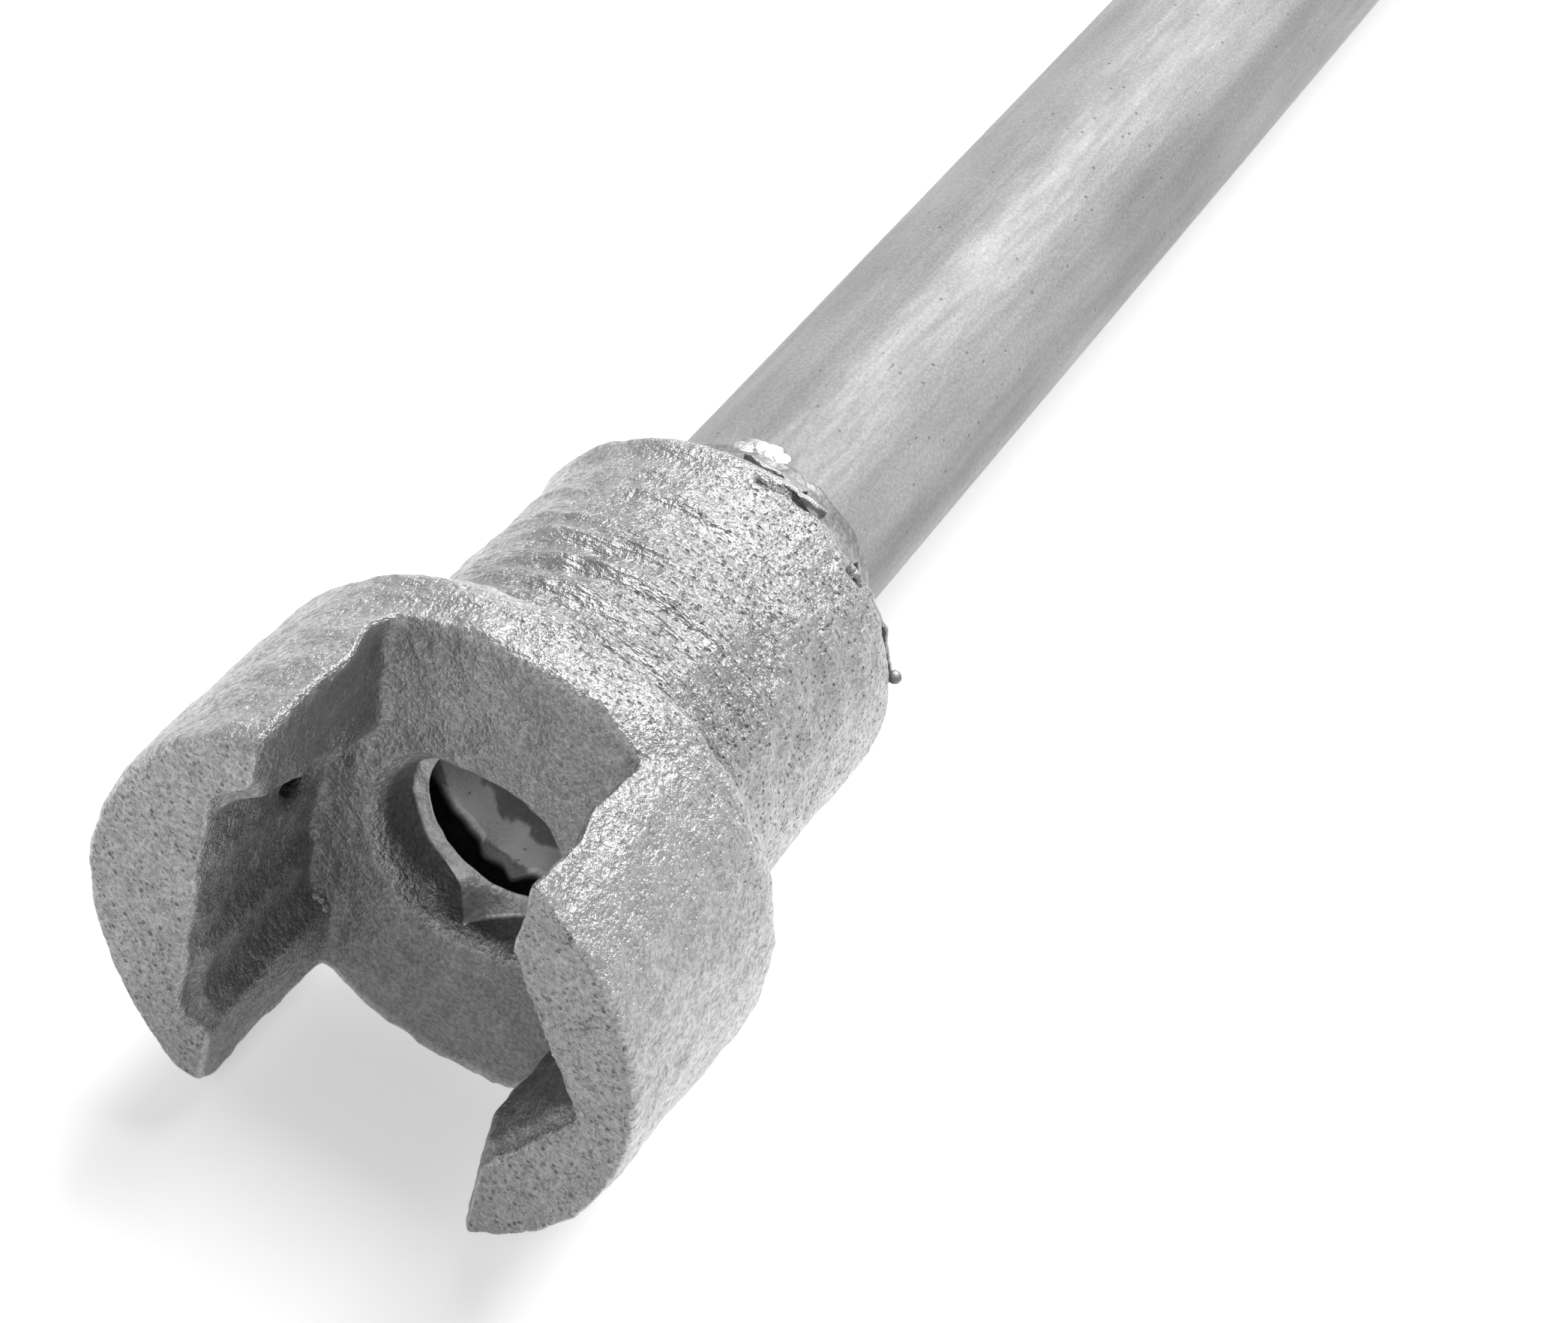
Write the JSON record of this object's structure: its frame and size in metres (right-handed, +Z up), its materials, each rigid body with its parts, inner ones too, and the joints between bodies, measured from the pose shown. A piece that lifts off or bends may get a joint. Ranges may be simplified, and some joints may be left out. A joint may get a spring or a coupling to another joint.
{
  "type": "scaffold tube with welded fork heads",
  "caption": "Galvanised scaffold tube with a round, slotted fork head welded on each end, fixed with fillet welds.",
  "frame": {"origin": "under the middle of the tube, on the plane that the two round heads stand on", "axes": "+X along the tube and out of the near head's mouth, +Z up through the open top of the slots"},
  "size_m": [0.73, 0.1068, 0.1068],
  "materials": {
    "galvanised_casting": "rough hot-dip galvanised casting",
    "galvanised_tube": "smooth hot-dip galvanised tube",
    "galvanised_weld": "rough galvanised weld bead",
    "zinc_run": "dull frozen zinc"
  },
  "bodies": {
    "root": {"tube": "galvanised_tube", "near_fork_head": "galvanised_casting", "near_collar_weld": "galvanised_weld", "near_bore_zinc": "zinc_run", "far_fork_head": "galvanised_casting", "far_collar_weld": "galvanised_weld", "far_bore_zinc": "zinc_run", "spatter_ball": "galvanised_weld"}
  },
  "joints": []
}
